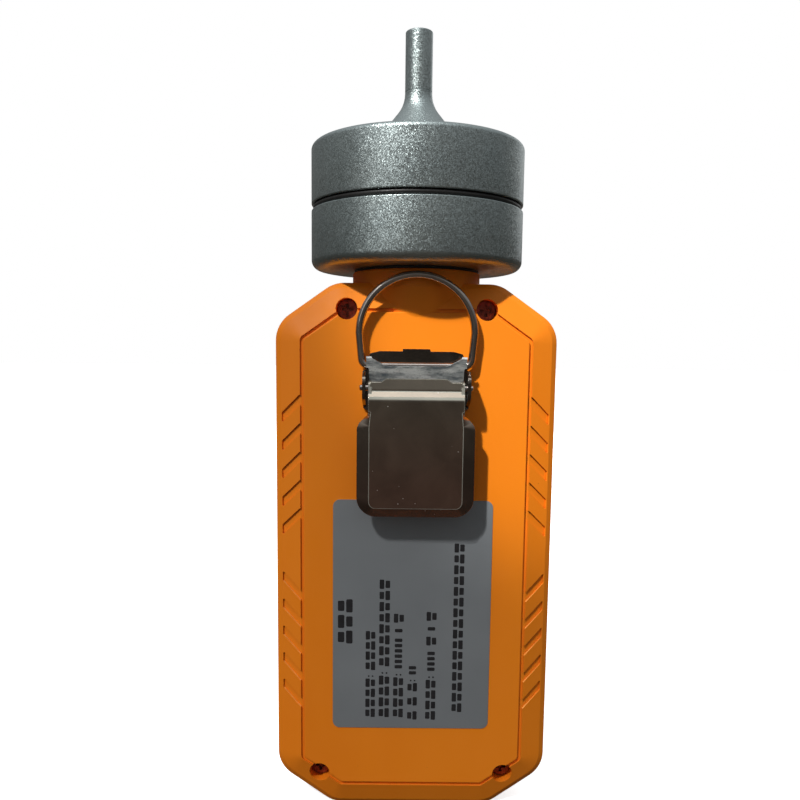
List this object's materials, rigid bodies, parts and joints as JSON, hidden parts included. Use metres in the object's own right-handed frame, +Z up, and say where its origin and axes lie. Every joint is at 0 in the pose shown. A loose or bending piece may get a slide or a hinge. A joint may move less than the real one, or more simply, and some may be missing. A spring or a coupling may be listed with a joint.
{
  "type": "portable gas detector",
  "caption": "Hand-held pumped gas detector: orange two-part case, round screw-capped sensor chamber with a hose nozzle, belt clip with a ring, display and keys.",
  "frame": {"origin": "centre of the bounding box's base: under the sensor chamber's axis, at the case's bottom face", "axes": "+Z up along the chamber's axis, -Y out of the rear panel with the belt clip, +Y out of the display, +X to the right seen from the clip side"},
  "size_m": [0.071, 0.055, 0.202],
  "materials": {
    "orange_plastic": "fine matte texture",
    "black_rubber": "matt",
    "zinc_steel": "zinc plated",
    "label_film": "satin silver film",
    "blasted_aluminium": "sand-blasted, anodised",
    "black_nickel": "polished black nickel",
    "overlay_film": "satin film",
    "clear_window": "clear",
    "lcd_glass": "reflective display",
    "red_lens": "tinted",
    "key_rubber": "matt",
    "board_green": "solder mask",
    "dark_plastic": "moulded",
    "motor_can": "bright",
    "battery_wrap": "shrink wrap over foil cell",
    "clear_hose": "translucent silicone",
    "brass_fitting": "turned",
    "sensor_body": "moulded",
    "white_filter": "porous"
  },
  "bodies": {
    "case": {"rear_cover": "orange_plastic", "front_cover": "orange_plastic", "neck_gasket": "black_rubber", "case_seal": "black_rubber", "case_screws": "zinc_steel", "board_screws": "zinc_steel", "clip_screws": "zinc_steel", "chamber_nut": "zinc_steel", "port_cover_pin": "zinc_steel", "rating_label": "label_film", "chamber_base": "blasted_aluminium", "clip_base": "black_nickel", "ring_keeper": "black_nickel", "clip_pin": "black_nickel", "front_overlay": "overlay_film", "display_window": "clear_window", "lcd_module": "lcd_glass", "alarm_lens": "red_lens", "main_board": "board_green", "sensor_board": "board_green", "key_switches": "dark_plastic", "buzzer": "dark_plastic", "battery_tray": "dark_plastic", "pump_head": "dark_plastic", "vibration_motor": "motor_can", "pump_motor": "motor_can", "charging_socket": "motor_can", "battery_pack": "battery_wrap", "inlet_hose": "clear_hose", "outlet_hose": "clear_hose", "exhaust_fitting": "brass_fitting", "oxygen_sensor": "sensor_body", "carbon_monoxide_sensor": "sensor_body", "hydrogen_sulfide_sensor": "sensor_body", "combustible_sensor": "sensor_body", "sensor_gasket": "white_filter"},
    "cap_carrier": {"chamber_seal": "black_rubber", "dust_filter": "white_filter", "filter_ring": "dark_plastic"},
    "cap": {"chamber_cap": "blasted_aluminium"},
    "lever": {"clip_lever": "black_nickel"},
    "ring": {"d_ring": "black_nickel"},
    "flap": {"port_cover": "black_rubber"},
    "power_key": {"power_button": "key_rubber"},
    "down_key": {"down_button": "key_rubber"},
    "up_key": {"up_button": "key_rubber"},
    "enter_key": {"enter_button": "key_rubber"},
    "eccentric": {"vibration_weight": "motor_can"}
  },
  "joints": [
    {"name": "cap_rise", "type": "slide", "parent": "case", "child": "cap_carrier", "axis": [0, 0, 1], "range_m": [0, 0.00605]},
    {"name": "cap_turn", "type": "hinge", "parent": "cap_carrier", "child": "cap", "pos_m": [0, 0, 0.165], "axis": [0, 0, 1], "range_deg": [0, 1440]},
    {"name": "lever_lift", "type": "hinge", "parent": "case", "child": "lever", "pos_m": [0, -0.0205, 0.1122], "axis": [-1, 0, 0], "range_deg": [0, 85]},
    {"name": "ring_swing", "type": "hinge", "parent": "case", "child": "ring", "pos_m": [0, -0.0171, 0.1175], "axis": [1, 0, 0], "range_deg": [0, 78]},
    {"name": "flap_open", "type": "hinge", "parent": "case", "child": "flap", "pos_m": [0.0342, 0.008, 0.0325], "axis": [0, 1, 0], "range_deg": [0, 90]},
    {"name": "power_press", "type": "slide", "parent": "case", "child": "power_key", "axis": [0, -1, 0], "range_m": [0, 0.0006], "stiffness_N_per_m": 3000, "springref_m": -0.0002},
    {"name": "down_press", "type": "slide", "parent": "case", "child": "down_key", "axis": [0, -1, 0], "range_m": [0, 0.0006], "stiffness_N_per_m": 3000, "springref_m": -0.0002},
    {"name": "up_press", "type": "slide", "parent": "case", "child": "up_key", "axis": [0, -1, 0], "range_m": [0, 0.0006], "stiffness_N_per_m": 3000, "springref_m": -0.0002},
    {"name": "enter_press", "type": "slide", "parent": "case", "child": "enter_key", "axis": [0, -1, 0], "range_m": [0, 0.0006], "stiffness_N_per_m": 3000, "springref_m": -0.0002},
    {"name": "eccentric_spin", "type": "hinge", "parent": "case", "child": "eccentric", "pos_m": [0.017, -0.0097, 0.1029], "axis": [0, 0, 1], "continuous": true}
  ],
  "couplings": [
    {"joint": "cap_rise", "follows": "cap_turn", "m_per_rad": 0.00023873}
  ]
}
